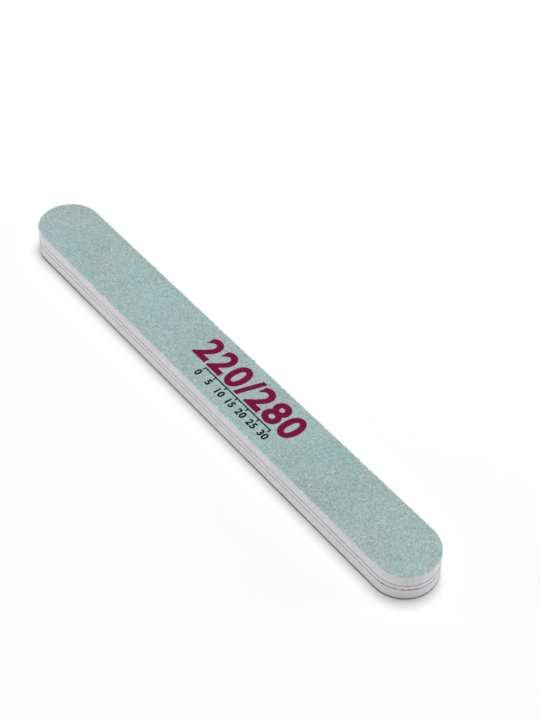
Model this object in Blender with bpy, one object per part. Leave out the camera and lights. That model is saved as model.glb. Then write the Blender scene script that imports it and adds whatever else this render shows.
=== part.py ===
"""Double-sided nail buffer: a straight laminated bar with full-round ends.

A stiff core board has a closed-cell foam pad bonded to each side.
Each pad carries an abrasive sheet, which is a grit coat on backing paper.
The mint sheet faces up and the finer dark grey sheet faces down.

Metres, +Z up. The bar's length runs along X and its width along Y.
The origin is the middle of the underside, on the surface that the bar lies on.
"""

from math import cos, pi, sin

import bpy

# The bar's outline, which one die cuts through the whole stack
LENGTH = 0.178
WIDTH = 0.0198

# Thickness of each layer of the mint side, outermost first
MINT_GRIT = 0.00016
MINT_PAPER = 0.00022
MINT_FILM = 0.00006

# Thickness of each layer of the grey side, outermost first
GREY_GRIT = 0.00012
GREY_PAPER = 0.00020
GREY_FILM = 0.00006

# Thickness of the middle of the stack
UPPER_FOAM = 0.0034
LOWER_FOAM = 0.0034
CORE = 0.0016
CORE_FILM = 0.00010

# Bond line left between two layers that lie face to face
BOND_GAP = 0.00002

# How far the adhesive films stay back from the cut side, so that they don't ooze out
FILM_INSET = 0.00015

# Straight steps in each round end
END_STEPS = 48


def srgb_to_linear(value):
    """One 0 to 255 display value as the linear value that a shader takes."""
    share = value / 255
    if share <= 0.04045:
        return share / 12.92
    return ((share + 0.055) / 1.055) ** 2.4


def make_material(name, colour, roughness, metallic=0.0):
    """A Principled material of one display colour."""
    material = bpy.data.materials.new(name)
    material.use_nodes = True
    shader = material.node_tree.nodes["Principled BSDF"]
    rgba = [srgb_to_linear(value) for value in colour] + [1.0]
    shader.inputs["Base Color"].default_value = rgba
    shader.inputs["Roughness"].default_value = roughness
    shader.inputs["Metallic"].default_value = metallic
    material.diffuse_color = rgba
    return material


def bar_outline(inset):
    """The bar's outline drawn in by inset: a half circle at +X, then one at -X."""
    end_centre = LENGTH / 2 - WIDTH / 2
    radius = WIDTH / 2 - inset
    points = []
    for end, first_angle in ((1, -pi / 2), (-1, pi / 2)):
        for step in range(END_STEPS + 1):
            angle = first_angle + pi * step / END_STEPS
            points.append((end * end_centre + radius * cos(angle), radius * sin(angle)))
    return points


def make_layer(name, thickness, inset, bottom, material, collection, parent):
    """One flat layer of the stack, with its underside at height bottom."""
    outline = bpy.data.curves.new(name, "CURVE")
    outline.dimensions = "2D"
    outline.fill_mode = "BOTH"
    outline.extrude = thickness / 2
    points = bar_outline(inset)
    spline = outline.splines.new("POLY")
    spline.points.add(len(points) - 1)
    for point, (x, y) in zip(spline.points, points):
        point.co = (x, y, 0, 1)
    spline.use_cyclic_u = True
    outline.materials.append(material)

    layer = bpy.data.objects.new(name, outline)
    layer.location = (0, 0, bottom + thickness / 2)
    layer.parent = parent
    collection.objects.link(layer)
    return layer


def build_materials():
    """The materials of the stack, by name."""
    return {
        "mint_grit": make_material("mint_grit", (163, 187, 183), 0.85),
        "mint_paper": make_material("mint_paper", (224, 225, 226), 0.90),
        "grey_grit": make_material("grey_grit", (99, 100, 102), 0.80),
        "grey_paper": make_material("grey_paper", (72, 72, 75), 0.90),
        "foam": make_material("foam", (226, 224, 229), 0.80),
        "core": make_material("core", (240, 239, 240), 0.35),
        "adhesive": make_material("adhesive", (176, 171, 167), 0.40),
    }


def build_stack(collection, parent, materials):
    """Lay up the whole bar, from the underside to the mint face."""
    layers = (
        ("grey_grit_coat", GREY_GRIT, 0, "grey_grit"),
        ("grey_backing_paper", GREY_PAPER, 0, "grey_paper"),
        ("grey_sheet_adhesive", GREY_FILM, FILM_INSET, "adhesive"),
        ("lower_foam_pad", LOWER_FOAM, 0, "foam"),
        ("lower_core_adhesive", CORE_FILM, FILM_INSET, "adhesive"),
        ("core_board", CORE, 0, "core"),
        ("upper_core_adhesive", CORE_FILM, FILM_INSET, "adhesive"),
        ("upper_foam_pad", UPPER_FOAM, 0, "foam"),
        ("mint_sheet_adhesive", MINT_FILM, FILM_INSET, "adhesive"),
        ("mint_backing_paper", MINT_PAPER, 0, "mint_paper"),
        ("mint_grit_coat", MINT_GRIT, 0, "mint_grit"),
    )
    bottom = 0
    for name, thickness, inset, finish in layers:
        make_layer(name, thickness, inset, bottom, materials[finish], collection, parent)
        bottom += thickness + BOND_GAP


def main():
    for old in list(bpy.data.objects):
        bpy.data.objects.remove(old, do_unlink=True)
    collection = bpy.data.collections.new("nail_buffer")
    bpy.context.scene.collection.children.link(collection)
    bar = bpy.data.objects.new("nail_buffer", None)
    collection.objects.link(bar)
    build_stack(collection, bar, build_materials())
    bpy.context.view_layer.update()


main()
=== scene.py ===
"""Looks of the double-sided nail buffer, laid round its packed layers.

Every layer of the laminate is modelled again with the surface that the real one has: grit with a
worn, chipped rim, foam with cut cells, a scored core board and films that stop unevenly at the cut.
Metres, +Z up. The bar lies along X with its mint face up.
"""

import math

import bmesh
import bpy
import numpy as np
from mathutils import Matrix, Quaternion, Vector


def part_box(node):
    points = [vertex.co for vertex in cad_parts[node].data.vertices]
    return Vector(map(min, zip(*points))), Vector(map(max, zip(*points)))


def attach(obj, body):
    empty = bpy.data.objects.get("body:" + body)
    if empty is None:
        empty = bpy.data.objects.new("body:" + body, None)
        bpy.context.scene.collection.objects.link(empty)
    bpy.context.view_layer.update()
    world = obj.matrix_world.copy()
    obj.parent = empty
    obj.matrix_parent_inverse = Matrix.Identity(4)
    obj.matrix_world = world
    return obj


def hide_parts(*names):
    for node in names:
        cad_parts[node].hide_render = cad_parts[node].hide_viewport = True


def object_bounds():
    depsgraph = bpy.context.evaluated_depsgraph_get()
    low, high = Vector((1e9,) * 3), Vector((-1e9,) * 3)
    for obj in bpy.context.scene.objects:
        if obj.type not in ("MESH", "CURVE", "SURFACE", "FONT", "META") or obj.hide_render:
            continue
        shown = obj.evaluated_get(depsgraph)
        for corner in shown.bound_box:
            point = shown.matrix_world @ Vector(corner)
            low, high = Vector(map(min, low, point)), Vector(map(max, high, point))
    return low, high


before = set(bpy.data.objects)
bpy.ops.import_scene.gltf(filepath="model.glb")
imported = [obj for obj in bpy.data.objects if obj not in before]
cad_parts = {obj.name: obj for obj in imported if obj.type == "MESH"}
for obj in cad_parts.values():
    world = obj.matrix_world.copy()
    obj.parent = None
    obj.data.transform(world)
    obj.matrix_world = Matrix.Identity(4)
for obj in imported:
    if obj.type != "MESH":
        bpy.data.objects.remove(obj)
cad_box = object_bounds()

MM = 0.001

# The bar's outline, read from the frame
LENGTH = cad_box[1].x - cad_box[0].x
WIDTH = cad_box[1].y - cad_box[0].y
RADIUS = WIDTH / 2
END_CENTRE = LENGTH / 2 - RADIUS
PERIMETER = 4 * END_CENTRE + 2 * math.pi * RADIUS

# Spacing of the modelled points, and the angle above which an edge stays crisp
FACE_STEP = 0.22 * MM
SIDE_STEP = 0.25 * MM
SHARP_ANGLE = math.radians(50)

# The camera, from the outlines and bond lines in the photograph
CAMERA_LENS = 85.44
CAMERA_SENSOR = 36.0
CAMERA_AIM = Vector((-2.90, 19.61, 0.0)) * MM
CAMERA_DISTANCE = 506.24 * MM
CAMERA_AZIMUTH = math.radians(50.31)
CAMERA_ELEVATION = math.radians(45.67)
CAMERA_ROLL = math.radians(2.25)

# Light on an open, level surface adds up to about 1. The fills give their level to a surface that
# faces them, and the dome and the key to a level one.
DOME_LEVEL = 0.30
KEY_LEVEL = 0.61
LEFT_FILL_LEVEL = 0.148
RIGHT_FILL_LEVEL = 0.19
KEY_ELEVATION = 80
FILL_ELEVATION = 14
KEY_SIZE = 0.52
FILL_SIZE = 0.45

# The floor glows a little. Further out it gets less light, and glows more.
FLOOR_REACH = 3.0
FLOOR_TONE = 0.9
FLOOR_GLOW = 0.145
FAR_FLOOR = 1.5
FAR_FLOOR_GLOW = 0.70

# The generic marking that is printed on the mint face
MARK_TEXT = "220/280"
MARK_CENTRE = Vector((9.7, 2.5)) * MM
MARK_HEIGHT = 8.7 * MM
MARK_WEIGHT = 0.42 * MM
SCALE_START = Vector((-4.4, -2.9)) * MM
SCALE_STEP = 5 * MM
SCALE_STEPS = 6
SCALE_FIGURE = 2.3 * MM
SCALE_WEIGHT = 0.12 * MM
SCALE_LINE = 0.42 * MM
SCALE_GAP = 0.4 * MM
TICK_LENGTH = 1.3 * MM

# Height of a figure as a share of the font's size, and the spacing of the figures
FIGURE_SHARE = 0.72
FIGURE_SPACING = 1.12

# How far the ink stands over the grit's relief, how thick it is, and how close points are welded
INK_LIFT = 0.035 * MM
INK_DEPTH = 0.045 * MM
FIGURE_WELD = 0.001 * MM
OUTLINE_WELD = 0.002 * MM
CUT_TOLERANCE = 0.0001 * MM

# How far the cut sides of the foam and the core stay in from the outline, in millimetres
CUT_INSET = 0.04

# Where the die tore the core board's lower edge, round the +X end
TEAR_PLACE = Vector((END_CENTRE + 6.3 * MM, -7.6 * MM))
TEAR_REACH = 5.5 * MM

# How far down a layer the adhesive smear and the painted shade under a film reach
SMEAR_AND_SHADE_REACH = 0.18 * MM

# Where the painted shadow on the lower pad's foot is darkest, and where it ends
FOOT_SHADE_FULL = -70 * MM
FOOT_SHADE_NONE = -40 * MM

# How far in the wear on a grit coat's rim reaches, and how wide and deep the rim is rounded
WEAR_REACH = 1.2 * MM
ROUND_WIDTH = 0.45 * MM
ROUND_DEPTH = 0.045 * MM

# Where a coat's tone is made darker and how far that reaches, and where painted light makes it paler
# towards the +X end
DEEPER_PLACE = 46 * MM
DEEPER_REACH = 20 * MM
PAINTED_LIGHT_START = 60 * MM
PAINTED_LIGHT_END = 84 * MM


# Repeatable noise

# Random values along each side of the table that the noise repeats
NOISE_TABLE = 64


def noise(points, cell, seed):
    """Smooth noise from -1 to 1 at each point, with features about cell wide."""
    table = np.random.default_rng(seed).uniform(-1, 1, (NOISE_TABLE,) * 3)
    place = np.asarray(points) / np.asarray(cell)
    corner = np.floor(place).astype(int)
    blend = place - corner
    blend = blend * blend * (3 - 2 * blend)
    total = 0
    for ox in (0, 1):
        for oy in (0, 1):
            for oz in (0, 1):
                offset = np.array([ox, oy, oz])
                share = np.where(offset, blend, 1 - blend).prod(axis=1)
                index = (corner + offset) % NOISE_TABLE
                total = total + share * table[index[:, 0], index[:, 1], index[:, 2]]
    return total


# Rings, and closed meshes made of them


class Ring:
    """Points round the bar at one distance from its long axis.

    They run along the +X end, the back, the -X end and the front. At no distance the ring folds up
    into the axis itself.
    """

    def __init__(self, radius, step):
        turns = round(math.pi * radius / step)
        steps = round(2 * END_CENTRE / step)
        half_turn = np.linspace(-math.pi / 2, math.pi / 2, turns + 1)
        run = np.linspace(END_CENTRE, -END_CENTRE, steps + 1)
        centre = [np.full(turns + 1, END_CENTRE), run[1:]]
        angle = [half_turn, np.full(steps, math.pi / 2)]
        if turns:
            centre += [np.full(turns, -END_CENTRE), -run[1:-1]]
            angle += [half_turn[1:] + math.pi, np.full(steps - 1, -math.pi / 2)]
        self.radius = radius
        self.centre = np.concatenate(centre)
        self.angle = np.concatenate(angle)
        self.normal = np.column_stack([np.cos(self.angle), np.sin(self.angle)])
        bounds = np.cumsum([0, turns, steps, turns, steps])
        parts = [np.arange(first, last + 1) for first, last in zip(bounds, bounds[1:])]
        if turns:
            self.parts = [part % len(self.centre) for part in parts]
        else:
            self.parts = [steps - abs(steps - part) for part in parts]

    def at(self, inset, height):
        """The ring's points, drawn in by inset. Both values may differ from point to point."""
        reach = self.radius - np.broadcast_to(inset, len(self.centre))
        level = self.normal * reach[:, None]
        level[:, 0] += self.centre
        return np.column_stack([level, np.broadcast_to(height, len(self.centre))])

    def edge(self):
        """The points of the bar's own outline that the ring's points lie straight in from."""
        level = self.normal * RADIUS
        level[:, 0] += self.centre
        return np.column_stack([level, np.zeros(len(level))])


# Empty share of the bake map at each end of a row, and of the row at each side
END_MARGIN = 0.01
ROW_MARGIN = 0.05


class Band:
    """A band of the bake map, low to high, that holds something long, cut into rows."""

    def __init__(self, low, high, rows, length):
        self.low = low
        self.high = high
        self.rows = rows
        self.length = length

    def place(self, along, across):
        """Map corners: along from 0 to the length and across from 0 to 1, one row for each face."""
        row_length = self.length / self.rows
        row = np.clip(np.floor(along.mean(axis=1) / row_length), 0, self.rows - 1)[:, None]
        u = END_MARGIN + (1 - 2 * END_MARGIN) * (along / row_length - row)
        spot = row + ROW_MARGIN + (1 - 2 * ROW_MARGIN) * across
        v = self.low + (self.high - self.low) * spot / self.rows
        return np.stack([u, v], axis=2).reshape(-1, 2)


def stitch(outer, inner):
    """Triangles between two rows of points that run the same way and may differ in number."""
    faces = []
    i = j = 0
    while i < len(outer) - 1 or j < len(inner) - 1:
        outer_next = (i + 1) * (len(inner) - 1)
        inner_next = (j + 1) * (len(outer) - 1)
        if j == len(inner) - 1 or (i < len(outer) - 1 and outer_next <= inner_next):
            faces.append((outer[i], outer[i + 1], inner[j]))
            i += 1
        else:
            faces.append((outer[i], inner[j + 1], inner[j]))
            j += 1
    return np.array(faces)


class Shell:
    """A closed mesh of rings, joined by side walls and shut by two caps."""

    def __init__(self):
        self.points = np.empty((0, 3))
        self.faces = []
        self.map = []

    def add(self, points):
        """Add points, and return their numbers."""
        self.points = np.concatenate([self.points, points])
        return np.arange(len(self.points) - len(points), len(self.points))

    def wall(self, rings, band):
        """Faces between rings of equal count, lowest ring first, facing outwards."""
        share = np.linspace(0, 1, len(rings))
        spots = np.linspace(0, band.length, len(rings[0]) + 1)
        along = np.column_stack([spots[:-1], spots[1:], spots[1:], spots[:-1]])
        for lower, upper, low, high in zip(rings, rings[1:], share, share[1:]):
            corners = [lower, np.roll(lower, -1), np.roll(upper, -1), upper]
            self.faces += np.column_stack(corners).tolist()
            across = np.tile([low, low, high, high], (len(lower), 1))
            self.map.append(band.place(along, across))

    def cap(self, rings, facing_up, band):
        """Faces from the outermost ring to the axis. rings holds pairs of a Ring and its numbers."""
        for (outer, outer_numbers), (inner, inner_numbers) in zip(rings, rings[1:]):
            for part, (outer_part, inner_part) in enumerate(zip(outer.parts, inner.parts)):
                first, second = outer_numbers[outer_part], inner_numbers[inner_part]
                if part in (0, 2):
                    faces = stitch(first, second)
                else:
                    faces = np.column_stack([first[:-1], first[1:], second[1:], second[:-1]])
                if not facing_up:
                    faces = faces[:, ::-1]
                self.faces += faces.tolist()
                corners = self.points[faces]
                along = corners[:, :, 0] + LENGTH / 2
                across = corners[:, :, 1] / WIDTH + 0.5
                self.map.append(band.place(along, across))

    def build(self, name):
        """The finished mesh as an object."""
        mesh = bpy.data.meshes.new(name)
        mesh.from_pydata(self.points.tolist(), [], self.faces)
        bake_map = mesh.uv_layers.new(name="OFBake")
        bake_map.uv.foreach_set("vector", np.concatenate(self.map).ravel())
        mesh.shade_smooth()
        mesh.set_sharp_from_angle(angle=SHARP_ANGLE)
        piece = bpy.data.objects.new(name, mesh)
        bpy.context.scene.collection.objects.link(piece)
        return piece


# Materials


def srgb(red, green, blue):
    """A display colour, 0 to 255, as linear values."""
    shares = [value / 255 for value in (red, green, blue)]
    return [s / 12.92 if s <= 0.04045 else ((s + 0.055) / 1.055) ** 2.4 for s in shares] + [1.0]


def feed(tree, socket, value):
    """Link an output to a socket of a node tree, or set the socket to a plain value."""
    if isinstance(value, bpy.types.NodeSocket):
        tree.links.new(value, socket)
    else:
        socket.default_value = value


class Material:
    """A Principled material, with short ways to add patterns. Pattern sizes are in metres."""

    def __init__(self, name, specular):
        self.data = bpy.data.materials.new(name)
        self.data.use_nodes = True
        self.tree = self.data.node_tree
        self.shader = self.tree.nodes["Principled BSDF"]
        self.shader.inputs["Specular IOR Level"].default_value = specular
        self.place = self.tree.nodes.new("ShaderNodeTexCoord").outputs["Object"]

    def feed(self, socket, value):
        """Link an output to a socket, or set the socket to a plain value."""
        feed(self.tree, socket, value)

    def scaled(self, size):
        """The place in units of size, which is one length or three."""
        node = self.tree.nodes.new("ShaderNodeVectorMath")
        node.operation = "DIVIDE"
        self.feed(node.inputs[0], self.place)
        self.feed(node.inputs[1], [size] * 3 if isinstance(size, float) else size)
        return node.outputs[0]

    def noise(self, size, detail=2.0, roughness=0.5):
        """Soft cloudy noise, about 0.5 on average."""
        node = self.tree.nodes.new("ShaderNodeTexNoise")
        self.feed(node.inputs["Vector"], self.scaled(size))
        self.feed(node.inputs["Scale"], 1.0)
        self.feed(node.inputs["Detail"], detail)
        self.feed(node.inputs["Roughness"], roughness)
        return node.outputs["Fac"]

    def cells(self, size, output="Color"):
        """Irregular cells: Color is one random number for each, Distance grows from each centre."""
        node = self.tree.nodes.new("ShaderNodeTexVoronoi")
        self.feed(node.inputs["Vector"], self.scaled(size))
        self.feed(node.inputs["Scale"], 1.0)
        return node.outputs[output]

    def total(self, *terms):
        """The sum of outputs, each with its weight."""
        result = 0.0
        for output, weight in terms:
            node = self.tree.nodes.new("ShaderNodeMath")
            node.operation = "MULTIPLY_ADD"
            self.feed(node.inputs[0], output)
            self.feed(node.inputs[1], weight)
            self.feed(node.inputs[2], result)
            result = node.outputs[0]
        return result

    def product(self, first, second):
        """One output times another."""
        return self.total((first, second))

    def coordinate(self, axis):
        """One coordinate of the place, X, Y or Z."""
        split = self.tree.nodes.new("ShaderNodeSeparateXYZ")
        self.feed(split.inputs[0], self.place)
        return split.outputs[axis]

    def distance(self, axis, centre):
        """How far a place lies from a centre along one axis."""
        offset = self.total((self.coordinate(axis), 1.0), (centre, -1.0))
        size = self.tree.nodes.new("ShaderNodeMath")
        size.operation = "ABSOLUTE"
        self.feed(size.inputs[0], offset)
        return size.outputs[0]

    def from_axis(self):
        """How far a place lies from the bar's long axis, which is the outline's radius at its rim."""
        flat = self.tree.nodes.new("ShaderNodeCombineXYZ")
        from_middle = self.distance("X", 0.0)
        past_end = self.spread(from_middle, END_CENTRE, LENGTH / 2, 0.0, RADIUS)
        self.feed(flat.inputs["X"], past_end)
        self.feed(flat.inputs["Y"], self.coordinate("Y"))
        length = self.tree.nodes.new("ShaderNodeVectorMath")
        length.operation = "LENGTH"
        self.feed(length.inputs[0], flat.outputs[0])
        return length.outputs["Value"]

    def dragged(self, body, film):
        """A colour darkened in a patchy band on the layer below a film: adhesive that the die drags
        down, and painted shade under the bond line.
        """
        reach = self.spread(self.distance("Z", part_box(film)[0].z), 0.0, SMEAR_AND_SHADE_REACH, 1.0, 0.0)
        patchy = self.spread(self.noise(0.7 * MM, 3.0, 0.6), 0.35, 0.65, 0.35, 0.75)
        return self.mix(self.product(reach, patchy), body, srgb(96, 92, 90))

    def spread(self, value, low, high, start=0.0, end=1.0):
        """value from low to high, mapped to start to end and held there outside."""
        node = self.tree.nodes.new("ShaderNodeMapRange")
        node.inputs["From Min"].default_value = low
        node.inputs["From Max"].default_value = high
        node.inputs["To Min"].default_value = start
        node.inputs["To Max"].default_value = end
        self.feed(node.inputs["Value"], value)
        return node.outputs["Result"]

    def mix(self, share, first, second):
        """A colour between two, by share."""
        node = self.tree.nodes.new("ShaderNodeMix")
        node.data_type = "RGBA"
        self.feed(node.inputs["Factor"], share)
        colours = [socket for socket in node.inputs if socket.type == "RGBA"]
        self.feed(colours[0], first)
        self.feed(colours[1], second)
        return next(socket for socket in node.outputs if socket.type == "RGBA")

    def colour(self, value):
        """Set the surface's colour."""
        self.feed(self.shader.inputs["Base Color"], value)

    def roughness(self, value):
        """Set the surface's roughness."""
        self.feed(self.shader.inputs["Roughness"], value)

    def bump(self, height, depth):
        """Relief too fine to model, depth metres high."""
        node = self.tree.nodes.new("ShaderNodeBump")
        node.inputs["Distance"].default_value = depth
        self.feed(node.inputs["Height"], height)
        self.feed(self.shader.inputs["Normal"], node.outputs["Normal"])


def grit_material(name, tones, drift, specks, rim_tones, grain, roughness, sway):
    """An abrasive coat: grains, lumps and slow mottling, painted glints and painted shade in pits, a
    worn rim.

    specks are the tones of the painted shade in the pits between grains and of the painted glints on
    the glinting grains, and rim_tones those of the worn rim and of its nicks. sway is how far the tone
    changes along the bar: darker round one place, and paler to the +X end, which is painted light.
    """
    made = Material(name, 0.3)
    clumps = made.noise(1.5 * grain, 6.0, 0.8)
    grains = made.cells(grain)
    lumps = made.cells(1.5 * grain)
    slow = made.noise(14 * MM, 5.0, 0.6)
    dust_and_foot_shade = made.cells(0.3 * grain)
    deeper = made.spread(made.distance("X", DEEPER_PLACE), 0.0, DEEPER_REACH, 0.7 * sway, 0.0)
    # Paler towards the +X end: painted light.
    painted_light_to_end = made.spread(made.coordinate("X"), PAINTED_LIGHT_START, PAINTED_LIGHT_END, 0.0, sway)
    tone = made.total((clumps, 0.27), (grains, 0.28), (lumps, 0.14), (dust_and_foot_shade, 0.13), (slow, 0.18))
    tone = made.total((tone, 1.0), (deeper, -1.0), (painted_light_to_end, 1.0))
    body = made.mix(made.spread(tone, 0.29, 0.71), tones[0], tones[1])
    patches = made.spread(made.noise(13 * MM, 4.0, 0.6), 0.38, 0.62, 0.0, 0.21)
    body = made.mix(patches, body, drift)
    # Painted shade: dark pits between the grains.
    painted_pit_shade = made.spread(made.cells(1.3 * grain), 0.10, 0.20, 0.5, 0.0)
    body = made.mix(painted_pit_shade, body, specks[0])
    # Painted highlight: bright glinting grains.
    painted_glints = made.spread(made.cells(1.2 * grain), 0.82, 0.92, 0.0, 0.5)
    body = made.mix(painted_glints, body, specks[1])
    rim = made.spread(made.from_axis(), RADIUS - 0.8 * MM, RADIUS)
    patchy = made.spread(made.noise(0.8 * MM, 3.0, 0.6), 0.35, 0.65, 0.0, 0.6)
    body = made.mix(made.product(rim, patchy), body, rim_tones[0])
    nicks = made.spread(made.cells(0.6 * MM), 0.955, 0.965)
    outermost = made.spread(made.from_axis(), RADIUS - 0.6 * MM, RADIUS - 0.3 * MM)
    made.colour(made.mix(made.product(outermost, nicks), body, rim_tones[1]))
    made.roughness(made.spread(clumps, 0.35, 0.65, roughness - 0.12, roughness + 0.04))
    made.bump(made.total((clumps, 1.0), (made.cells(0.8 * grain, "Distance"), 0.5)), 0.15 * grain)
    return made.data


def foam_material():
    """Closed-cell foam cut by a die: pale and dull, its cells showing, faintly streaked down the cut.

    The lower pad's foot is painted darker at the -X end: painted shadow along the foot line.
    """
    made = Material("foam", 0.25)
    streaks = made.noise([0.35 * MM, 0.35 * MM, 2.6 * MM], 3.0, 0.6)
    cells = made.cells(0.20 * MM)
    clouds = made.noise(5.0 * MM, 2.0)
    tone = made.total((streaks, 0.5), (cells, 0.3), (clouds, 0.2))
    body = made.mix(made.spread(tone, 0.3, 0.7), srgb(229, 228, 233), srgb(253, 252, 255))
    # Patchy dark band under the lower core film: adhesive smear and painted shade.
    body = made.dragged(body, "lower_core_adhesive")
    pores = made.cells(0.20 * MM, "Distance")
    # Painted shade: the centres of the cut pores are darkened.
    body = made.mix(made.spread(pores, 0.0, 0.4, 0.26, 0.0), body, srgb(190, 188, 196))
    # Painted shadow: the lower pad's foot is darkened, most at the -X end.
    above_foot = made.distance("Z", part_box("lower_foam_pad")[0].z)
    uneven = made.total((above_foot, 1.0), (clouds, -0.3 * MM))
    dust_and_foot_shade = made.spread(uneven, -0.08 * MM, 0.14 * MM, 1.0, 0.0)
    far_end = made.spread(made.coordinate("X"), FOOT_SHADE_FULL, FOOT_SHADE_NONE, 0.9, 0.0)
    made.colour(made.mix(made.product(dust_and_foot_shade, far_end), body, srgb(66, 66, 68)))
    made.roughness(made.spread(tone, 0.3, 0.7, 0.74, 0.86))
    made.bump(made.total((pores, 1.0), (streaks, 0.6)), 0.012 * MM)
    return made.data


def core_material():
    """The stiff plastic board: whiter and shinier than the foam, scored along the cut, with painted
    glints.
    """
    made = Material("core", 0.5)
    scores = made.noise([1.6 * MM, 1.6 * MM, 0.07 * MM], 2.0, 0.6)
    scuffs = made.noise([0.7 * MM, 0.7 * MM, 1.6 * MM], 3.0, 0.6)
    tone = made.total((scores, 0.5), (scuffs, 0.5))
    body = made.mix(made.spread(tone, 0.38, 0.62), srgb(222, 221, 223), srgb(253, 252, 253))
    # Scattered specks painted near white: painted glints, where light would catch burrs on the cut.
    burrs_and_glints = made.spread(made.cells(0.45 * MM), 0.82, 0.88, 0.0, 0.9)
    body = made.mix(burrs_and_glints, body, srgb(253, 252, 252))
    # Patchy dark band under the upper core film: adhesive smear and painted shade.
    made.colour(made.dragged(body, "upper_core_adhesive"))
    made.roughness(made.spread(scores, 0.3, 0.7, 0.28, 0.5))
    made.bump(scores, 0.010 * MM)
    return made.data


def film_material(name, dark, light):
    """Adhesive film: slightly shiny, uneven in depth of colour."""
    made = Material(name, 0.4)
    uneven = made.noise(1.4 * MM, 3.0, 0.65)
    made.colour(made.mix(made.spread(uneven, 0.3, 0.7), dark, light))
    made.roughness(made.spread(uneven, 0.3, 0.7, 0.32, 0.52))
    made.bump(made.noise(0.2 * MM), 0.008 * MM)
    return made.data


def paper_material(name, dark, light):
    """Backing paper: short fibres lying along the sheet."""
    made = Material(name, 0.25)
    fibres = made.noise([0.9 * MM, 0.9 * MM, 0.05 * MM], 3.0, 0.65)
    made.colour(made.mix(made.spread(fibres, 0.3, 0.7), dark, light))
    made.roughness(made.spread(fibres, 0.3, 0.7, 0.78, 0.92))
    made.bump(fibres, 0.010 * MM)
    return made.data


def ink_material(name, thin, full):
    """Ink printed on grit: solid, a little thinner where it sinks between grains."""
    made = Material(name, 0.05)
    cover = made.noise(0.22 * MM, 3.0, 0.6)
    made.colour(made.mix(made.spread(cover, 0.28, 0.50), thin, full))
    made.roughness(made.spread(cover, 0.28, 0.50, 0.92, 0.80))
    made.bump(cover, 0.012 * MM)
    return made.data


def make_materials():
    """Every material of the bar, by name."""
    return {
        "mint_grit": grit_material(
            "mint_grit",
            tones=(srgb(125, 147, 144), srgb(193, 214, 213)),
            drift=srgb(132, 190, 180),
            specks=(srgb(116, 142, 139), srgb(206, 226, 225)),
            rim_tones=(srgb(198, 211, 209), srgb(84, 104, 100)),
            grain=0.28 * MM,
            roughness=0.9,
            sway=0.038,
        ),
        "grey_grit": grit_material(
            "grey_grit",
            tones=(srgb(71, 71, 73), srgb(109, 109, 111)),
            drift=srgb(68, 70, 76),
            specks=(srgb(62, 62, 64), srgb(130, 130, 132)),
            rim_tones=(srgb(56, 56, 58), srgb(42, 42, 44)),
            grain=0.20 * MM,
            roughness=0.8,
            sway=0.0,
        ),
        "mint_paper": paper_material("mint_paper", srgb(216, 236, 231), srgb(236, 248, 245)),
        "grey_paper": paper_material("grey_paper", srgb(18, 18, 20), srgb(36, 36, 39)),
        "foam": foam_material(),
        "core": core_material(),
        "core_adhesive": film_material("core_adhesive", srgb(110, 106, 104), srgb(146, 142, 140)),
        "smudged_adhesive": film_material("smudged_adhesive", srgb(90, 89, 90), srgb(134, 133, 134)),
        "pale_adhesive": film_material("pale_adhesive", srgb(226, 225, 226), srgb(240, 239, 241)),
    }


# Layers between the abrasive faces


def settle(piece, node, material):
    """Put the material on a piece, and have it stand for a node of the frame."""
    piece.data.materials.append(material)
    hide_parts(node)
    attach(piece, "root")
    return piece


def foam_shape(share, points, seed):
    """A pad's cut side: cut cells, the streaks that the die leaves down them, and a slow sway.

    This and the other shapes of a cut side give how far it lies in from the outline, at a share of
    the layer's height.
    """
    upright = points * np.array([1, 1, 0])
    streaks = 0.010 * noise(upright, 0.7 * MM, seed)
    cells = 0.010 * noise(points, 0.35 * MM, seed + 1)
    sway = 0.020 * noise(upright, 9 * MM, seed + 2)
    waist = 0.03 * math.sin(math.pi * share)
    return (CUT_INSET + waist + streaks + cells + sway) * MM


def upper_foam_shape(share, points, seed):
    """The upper pad's side, with both of its edges rolled in a little."""
    rolled = 0.03 * math.exp(-share * 18) + 0.02 * math.exp(-(1 - share) * 14)
    return foam_shape(share, points, seed) + rolled * MM


def lower_foam_shape(share, points, seed):
    """The lower pad's side, with its upper edge rolled in towards the core."""
    return foam_shape(share, points, seed) + 0.02 * MM * math.exp(-(1 - share) * 18)


def core_shape(share, points, seed):
    """The board's cut side: scored along its length, its lower edge torn, most at one place."""
    scores = 0.010 * noise(points, [4 * MM, 4 * MM, 0.22 * MM], seed)
    upper_edge = 0.04 * math.exp(-(1 - share) * 16)
    from_tear = np.hypot(points[:, 0] - TEAR_PLACE.x, points[:, 1] - TEAR_PLACE.y)
    torn = 0.035 + 0.03 * noise(points, 0.9 * MM, seed + 1)
    flecks = 0.34 * np.clip(noise(points, 0.6 * MM, seed + 4) + 0.5, 0, 1)
    lower_edge = (torn + flecks * np.exp(-(from_tear / TEAR_REACH) ** 2)) * math.exp(-share * 8)
    rough = noise(points, 0.6 * MM, seed + 2) * noise(points, 2.9 * MM, seed + 3)
    burrs_and_glints = 0.35 * share * (1 - share) * np.clip(rough - 0.25, 0, 0.3)
    return (CUT_INSET + scores + upper_edge + lower_edge - burrs_and_glints) * MM


def film_shape(share, points, seed):
    """A film's edge, nearly flush, where the layer above has sprung back from the cut."""
    slow = noise(points, 4.3 * MM, seed)
    quick = noise(points, 0.7 * MM, seed + 1)
    return (0.035 + 0.012 * slow + 0.012 * quick) * MM


def sheet_film_shape(share, points, seed):
    """The edge of the film under an abrasive sheet, nearly flush."""
    return 0.012 * (1 + noise(points, 0.9 * MM, seed)) * MM


def paper_shape(share, points, seed):
    """Fibres that stand out of a paper's cut edge, which slopes in a little at the top."""
    return (0.012 * (1 + noise(points, 0.4 * MM, seed)) + 0.04 * share**2) * MM


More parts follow.
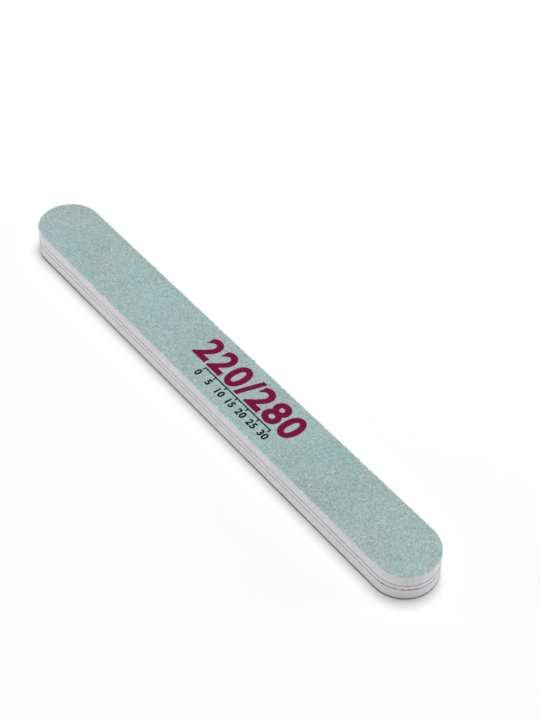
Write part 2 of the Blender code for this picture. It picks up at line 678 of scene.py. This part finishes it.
# Where a layer's bonded faces and its cut side lie in the bake map
HIDDEN_BAND = Band(0.00, 0.06, rows=2, length=LENGTH)
SIDE_LOW = 0.07


def make_layer(name, node, material, shape, levels, rows, seed):
    """A layer with a detailed cut side.

    shape gives the side's inset at a share of the height, levels is how many steps the side has,
    and rows how many rows it takes in the bake map.
    """
    low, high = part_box(node)
    ring = Ring(RADIUS, SIDE_STEP)
    axis = Ring(0.0, SIDE_STEP)
    shell = Shell()
    walls = []
    for level in range(levels + 1):
        share = level / levels
        height = low.z + (high.z - low.z) * share
        inset = shape(share, ring.at(0, height), seed)
        walls.append(shell.add(ring.at(inset, height)))
    shell.wall(walls, Band(SIDE_LOW, 1.0, rows, PERIMETER))
    for wall, height, facing_up in ((walls[0], low.z, False), (walls[-1], high.z, True)):
        shell.cap([(ring, wall), (axis, shell.add(axis.at(0, height)))], facing_up, HIDDEN_BAND)
    return settle(shell.build(name), node, material)


def make_foam_pads(material):
    """The two foam pads, which give under a finger."""
    for name, node, shape, seed in (
        ("foam_pad_lower", "lower_foam_pad", lower_foam_shape, 40),
        ("foam_pad_upper", "upper_foam_pad", upper_foam_shape, 50),
    ):
        pad = make_layer(name, node, material, shape, levels=16, rows=10, seed=seed)


def make_films(materials):
    """The four adhesive films."""
    for name, node, finish, shape, seed in (
        ("core_film_lower", "lower_core_adhesive", "core_adhesive", film_shape, 70),
        ("core_film_upper", "upper_core_adhesive", "core_adhesive", film_shape, 75),
        ("sheet_film_lower", "grey_sheet_adhesive", "smudged_adhesive", sheet_film_shape, 80),
        ("sheet_film_upper", "mint_sheet_adhesive", "pale_adhesive", sheet_film_shape, 85),
    ):
        make_layer(name, node, materials[finish], shape, levels=2, rows=16, seed=seed)


def make_papers(materials):
    """The backing papers of the two abrasive sheets."""
    for name, node, slot, seed in (
        ("paper_sheet_lower", "grey_backing_paper", "grey_paper", 90),
        ("paper_sheet_upper", "mint_backing_paper", "mint_paper", 95),
    ):
        make_layer(name, node, materials[slot], paper_shape, levels=2, rows=16, seed=seed)


def make_core(material):
    """The stiff board in the middle."""
    make_layer("core_strip", "core_board", material, core_shape, levels=8, rows=14, seed=60)


# Abrasive coats

FACE_BAND = Band(0.00, 0.94, rows=3, length=LENGTH)
RIM_BAND = Band(0.945, 0.975, rows=4, length=PERIMETER)
BACK_BAND = Band(0.98, 1.0, rows=1, length=LENGTH)


class Coat:
    """The shape of one abrasive face, for its own mesh and for the ink that is printed on it.

    side is 1 for a coat that faces up and -1 for one that faces down. grain and depth are the width
    and the depth of its grains, and wear scales what is missing from its rim.
    """

    def __init__(self, node, side, grain, depth, wear, seed):
        low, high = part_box(node)
        self.face, self.back = (high.z, low.z) if side > 0 else (low.z, high.z)
        self.side = side
        self.grain = grain
        self.depth = depth
        self.wear = wear
        self.seed = seed

    def bite(self, edge):
        """How far the die and wear have taken the rim back, at points of the bar's outline."""
        ragged = 0.13 + 0.11 * noise(edge, 0.5 * MM, self.seed + 10)
        chips = noise(edge, 0.6 * MM, self.seed + 11) * noise(edge, 2.3 * MM, self.seed + 12)
        return self.wear * (ragged + 2.2 * np.clip(chips - 0.17, 0, 0.15)) * MM

    def relief(self, points):
        """How far the face lies out of its plane, inwards negative."""
        level = points * np.array([1, 1, 0])
        grains = 0.6 * noise(level, self.grain, self.seed)
        clumps = 0.4 * noise(level, 3.1 * self.grain, self.seed + 1)
        sheet = 0.010 * MM * (noise(level, 14 * MM, self.seed + 2) - 1)
        past_end = np.clip(np.abs(points[:, 0]) - END_CENTRE, 0, None)
        from_edge = RADIUS - np.hypot(past_end, points[:, 1])
        rounding = ROUND_DEPTH * np.clip(1 - from_edge / ROUND_WIDTH, 0, 1) ** 2
        return self.depth * (grains + clumps - 1) + sheet - rounding

    def build(self, name):
        """The coat as a closed mesh: its face in relief, a ragged rim and a flat back."""
        shell = Shell()
        face_rings = []
        for radius in np.linspace(RADIUS, 0, round(RADIUS / FACE_STEP) + 1):
            ring = Ring(radius, FACE_STEP)
            give = max(0, 1 - (RADIUS - radius) / WEAR_REACH)
            points = ring.at(give * self.bite(ring.edge()), self.face)
            points[:, 2] += self.side * self.relief(points)
            face_rings.append((ring, shell.add(points)))
        rim, rim_numbers = face_rings[0]
        back_numbers = shell.add(rim.at(0.7 * self.bite(rim.edge()), self.back))
        walls = [back_numbers, rim_numbers] if self.side > 0 else [rim_numbers, back_numbers]
        shell.wall(walls, RIM_BAND)
        shell.cap(face_rings, self.side > 0, FACE_BAND)
        axis = Ring(0.0, FACE_STEP)
        axis_numbers = shell.add(axis.at(0, self.back))
        shell.cap([(rim, back_numbers), (axis, axis_numbers)], self.side < 0, BACK_BAND)
        return shell.build(name)


def make_coats(materials):
    """The two abrasive faces. The mint one is returned, to be printed on."""
    mint = Coat("mint_grit_coat", side=1, grain=0.36 * MM, depth=0.038 * MM, wear=1.0, seed=10)
    settle(mint.build("mint_grit_face"), "mint_grit_coat", materials["mint_grit"])
    grey = Coat("grey_grit_coat", side=-1, grain=0.28 * MM, depth=0.012 * MM, wear=1.2, seed=110)
    settle(grey.build("grey_grit_face"), "grey_grit_coat", materials["grey_grit"])
    return mint


# Printed marking


def text_shape(body, height, weight, centre):
    """Plain figures as a flat bmesh, thickened by weight and centred on a point."""
    letters = bpy.data.curves.new(body, "FONT")
    letters.body = body
    letters.align_x = "CENTER"
    letters.size = height / FIGURE_SHARE
    letters.offset = weight
    letters.space_character = FIGURE_SPACING
    letters.resolution_u = 6
    holder = bpy.data.objects.new(body, letters)
    bpy.context.scene.collection.objects.link(holder)
    depsgraph = bpy.context.evaluated_depsgraph_get()
    mesh = bpy.data.meshes.new_from_object(holder.evaluated_get(depsgraph))
    bpy.data.objects.remove(holder)
    shape = bmesh.new()
    shape.from_mesh(mesh)
    bpy.data.meshes.remove(mesh)
    bmesh.ops.remove_doubles(shape, verts=shape.verts[:], dist=FIGURE_WELD)
    move = (centre.x, centre.y - height / 2, 0)
    bmesh.ops.translate(shape, vec=move, verts=shape.verts[:])
    return shape


def add_shape(whole, shape):
    """Add one bmesh to another, and free it."""
    mesh = bpy.data.meshes.new("shape")
    shape.to_mesh(mesh)
    shape.free()
    whole.from_mesh(mesh)
    bpy.data.meshes.remove(mesh)


def comb_outline():
    """The corners of a long line with a tooth below it at each step of the scale."""
    left, right = SCALE_START.x, SCALE_START.x + SCALE_STEPS * SCALE_STEP + SCALE_LINE
    top = SCALE_START.y
    corners = [(right, top), (left, top)]
    for step in range(SCALE_STEPS + 1):
        tooth = left + step * SCALE_STEP
        corners += [(tooth, top - SCALE_LINE)] if step else []
        corners += [(tooth, top - TICK_LENGTH), (tooth + SCALE_LINE, top - TICK_LENGTH)]
        corners += [(tooth + SCALE_LINE, top - SCALE_LINE)] if step < SCALE_STEPS else []
    return corners


def scale_shape():
    """A length scale in millimetres: a line with a tick at each step, and the numbers below."""
    whole = bmesh.new()
    whole.faces.new([whole.verts.new((x, y, 0)) for x, y in comb_outline()])
    for step in range(SCALE_STEPS + 1):
        x = SCALE_START.x + step * SCALE_STEP + SCALE_LINE / 2
        y = SCALE_START.y - TICK_LENGTH - SCALE_GAP - SCALE_FIGURE / 2
        number = str(round(step * SCALE_STEP / MM))
        add_shape(whole, text_shape(number, SCALE_FIGURE, SCALE_WEIGHT, Vector((x, y))))
    return whole


def clean_outline(shape):
    """Weld points that nearly touch, and drop slivers that fold over where an outline crosses."""
    bmesh.ops.remove_doubles(shape, verts=shape.verts[:], dist=OUTLINE_WELD)
    while True:
        edges = [edge for edge in shape.edges if len(edge.link_faces) > 1]
        folds = [edge for edge in edges if not edge.is_contiguous or len(edge.link_faces) > 2]
        if not folds:
            return
        sliver = min(folds[0].link_faces, key=lambda face: face.calc_area())
        bmesh.ops.delete(shape, geom=[sliver], context="FACES")


def print_on(coat, name, shape, material):
    """Lay a flat bmesh on the grit: cut it along a fine grid, then let each point follow the grains."""
    clean_outline(shape)
    for axis in (0, 1):
        places = [vertex.co[axis] for vertex in shape.verts]
        direction = Vector((1 - axis, axis, 0))
        for place in np.arange(min(places), max(places), FACE_STEP)[1:]:
            bmesh.ops.bisect_plane(
                shape,
                geom=shape.verts[:] + shape.edges[:] + shape.faces[:],
                dist=CUT_TOLERANCE,
                plane_co=direction * float(place),
                plane_no=direction,
            )
    clean_outline(shape)
    points = np.array([vertex.co for vertex in shape.verts])
    heights = coat.face + coat.relief(points) + INK_LIFT
    for vertex, height in zip(shape.verts, heights):
        vertex.co.z = height
    mesh = bpy.data.meshes.new(name)
    shape.to_mesh(mesh)
    shape.free()
    mesh.shade_smooth()
    mesh.materials.append(material)
    piece = bpy.data.objects.new(name, mesh)
    bpy.context.scene.collection.objects.link(piece)
    solid = piece.modifiers.new("ink depth", "SOLIDIFY")
    solid.thickness = INK_DEPTH
    solid.offset = -1.0
    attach(piece, "root")


def make_marking(coat):
    """Grit numbers in raspberry ink, over a black length scale."""
    raspberry = ink_material("raspberry_ink", srgb(134, 36, 74), srgb(122, 14, 56))
    black = ink_material("black_ink", srgb(36, 46, 46), srgb(14, 22, 22))
    numbers = text_shape(MARK_TEXT, MARK_HEIGHT, MARK_WEIGHT, MARK_CENTRE)
    print_on(coat, "grit_numbers", numbers, raspberry)
    print_on(coat, "length_scale", scale_shape(), black)


# Stage, lights and camera


def seen_only(tree, strength):
    """A strength that the camera and shiny or clear surfaces see, and that lights nothing else."""
    path = tree.nodes.new("ShaderNodeLightPath")
    seen = path.outputs["Is Camera Ray"]
    for other in ("Is Glossy Ray", "Is Transmission Ray"):
        either = tree.nodes.new("ShaderNodeMath")
        either.operation = "MAXIMUM"
        tree.links.new(seen, either.inputs[0])
        tree.links.new(path.outputs[other], either.inputs[1])
        seen = either.outputs[0]
    scaled = tree.nodes.new("ShaderNodeMath")
    scaled.operation = "MULTIPLY"
    feed(tree, scaled.inputs[0], seen)
    feed(tree, scaled.inputs[1], strength)
    return scaled.outputs[0]


def floor_glow(tree):
    """The floor's glow, which makes up for the light that falls off with distance from the bar."""
    distance = tree.nodes.new("ShaderNodeVectorMath")
    distance.operation = "LENGTH"
    feed(tree, distance.inputs[0], tree.nodes.new("ShaderNodeTexCoord").outputs["Object"])
    ramp = tree.nodes.new("ShaderNodeMapRange")
    feed(tree, ramp.inputs["Value"], distance.outputs["Value"])
    ramp.inputs["From Min"].default_value = LENGTH / 2
    ramp.inputs["From Max"].default_value = FAR_FLOOR
    ramp.inputs["To Min"].default_value = FLOOR_GLOW
    ramp.inputs["To Max"].default_value = FAR_FLOOR_GLOW
    return ramp.outputs["Result"]


def make_floor():
    """A wide pale floor that keeps the shadow and shows white round it."""
    mesh = bpy.data.meshes.new("floor")
    turns = ((-1, -1), (1, -1), (1, 1), (-1, 1))
    corners = [(x * FLOOR_REACH, y * FLOOR_REACH, 0) for x, y in turns]
    mesh.from_pydata(corners, [], [(0, 1, 2, 3)])
    floor = bpy.data.objects.new("floor", mesh)
    bpy.context.scene.collection.objects.link(floor)
    material = bpy.data.materials.new("floor")
    material.use_nodes = True
    tree = material.node_tree
    tree.nodes.clear()
    diffuse = tree.nodes.new("ShaderNodeBsdfDiffuse")
    diffuse.inputs["Color"].default_value = (FLOOR_TONE, FLOOR_TONE, FLOOR_TONE, 1)
    glow = tree.nodes.new("ShaderNodeEmission")
    feed(tree, glow.inputs["Strength"], seen_only(tree, floor_glow(tree)))
    both = tree.nodes.new("ShaderNodeAddShader")
    tree.links.new(diffuse.outputs[0], both.inputs[0])
    tree.links.new(glow.outputs[0], both.inputs[1])
    out = tree.nodes.new("ShaderNodeOutputMaterial")
    tree.links.new(both.outputs[0], out.inputs["Surface"])
    mesh.materials.append(material)


def make_world():
    """Even light from all round, with a white backdrop behind the bar."""
    world = bpy.data.worlds.new("studio")
    bpy.context.scene.world = world
    world.use_nodes = True
    tree = world.node_tree
    background = tree.nodes["Background"]
    background.inputs["Color"].default_value = (1, 1, 1, 1)
    whole = tree.nodes.new("ShaderNodeMath")
    whole.operation = "ADD"
    whole.inputs[0].default_value = DOME_LEVEL
    tree.links.new(seen_only(tree, 1.0 - DOME_LEVEL), whole.inputs[1])
    tree.links.new(whole.outputs[0], background.inputs["Strength"])


def make_lamp(name, azimuth, elevation, size, level):
    """A round soft lamp a metre away, which lights a surface that faces it to a level."""
    lamp = bpy.data.lights.new(name, "AREA")
    lamp.shape = "DISK"
    lamp.size = size
    lamp.energy = level * math.pi**2
    holder = bpy.data.objects.new(name, lamp)
    bpy.context.scene.collection.objects.link(holder)
    turn, tilt = math.radians(azimuth), math.radians(elevation)
    place = Vector((math.cos(turn) * math.cos(tilt), math.sin(turn) * math.cos(tilt), math.sin(tilt)))
    holder.location = place
    holder.rotation_mode = "QUATERNION"
    holder.rotation_quaternion = (-place).to_track_quat("-Z", "Y")


def make_lights():
    """A key nearly overhead from behind, and a low fill at the left and at the right."""
    key_level = KEY_LEVEL / math.sin(math.radians(KEY_ELEVATION))
    make_lamp("key", 120, KEY_ELEVATION, KEY_SIZE, key_level)
    make_lamp("left_fill", -130, FILL_ELEVATION, FILL_SIZE, LEFT_FILL_LEVEL)
    make_lamp("right_fill", 55, FILL_ELEVATION, FILL_SIZE, RIGHT_FILL_LEVEL)


def make_camera():
    """The photograph's view of the bar."""
    data = bpy.data.cameras.new("camera")
    data.sensor_width = CAMERA_SENSOR
    data.lens = CAMERA_LENS
    camera = bpy.data.objects.new("camera", data)
    bpy.context.scene.collection.objects.link(camera)
    level_reach = math.cos(CAMERA_ELEVATION)
    back = Vector((
        math.sin(CAMERA_AZIMUTH) * level_reach,
        -math.cos(CAMERA_AZIMUTH) * level_reach,
        math.sin(CAMERA_ELEVATION),
    ))
    camera.location = CAMERA_AIM + back * CAMERA_DISTANCE
    camera.rotation_mode = "QUATERNION"
    level = (-back).to_track_quat("-Z", "Y")
    camera.rotation_quaternion = level @ Quaternion((0, 0, 1), CAMERA_ROLL)
    bpy.context.scene.camera = camera


def main():
    materials = make_materials()
    mint = make_coats(materials)
    make_papers(materials)
    make_films(materials)
    make_foam_pads(materials["foam"])
    make_core(materials["core"])
    make_marking(mint)
    make_floor()
    make_world()
    make_lights()
    make_camera()
    bpy.context.scene.view_settings.view_transform = "Standard"


main()
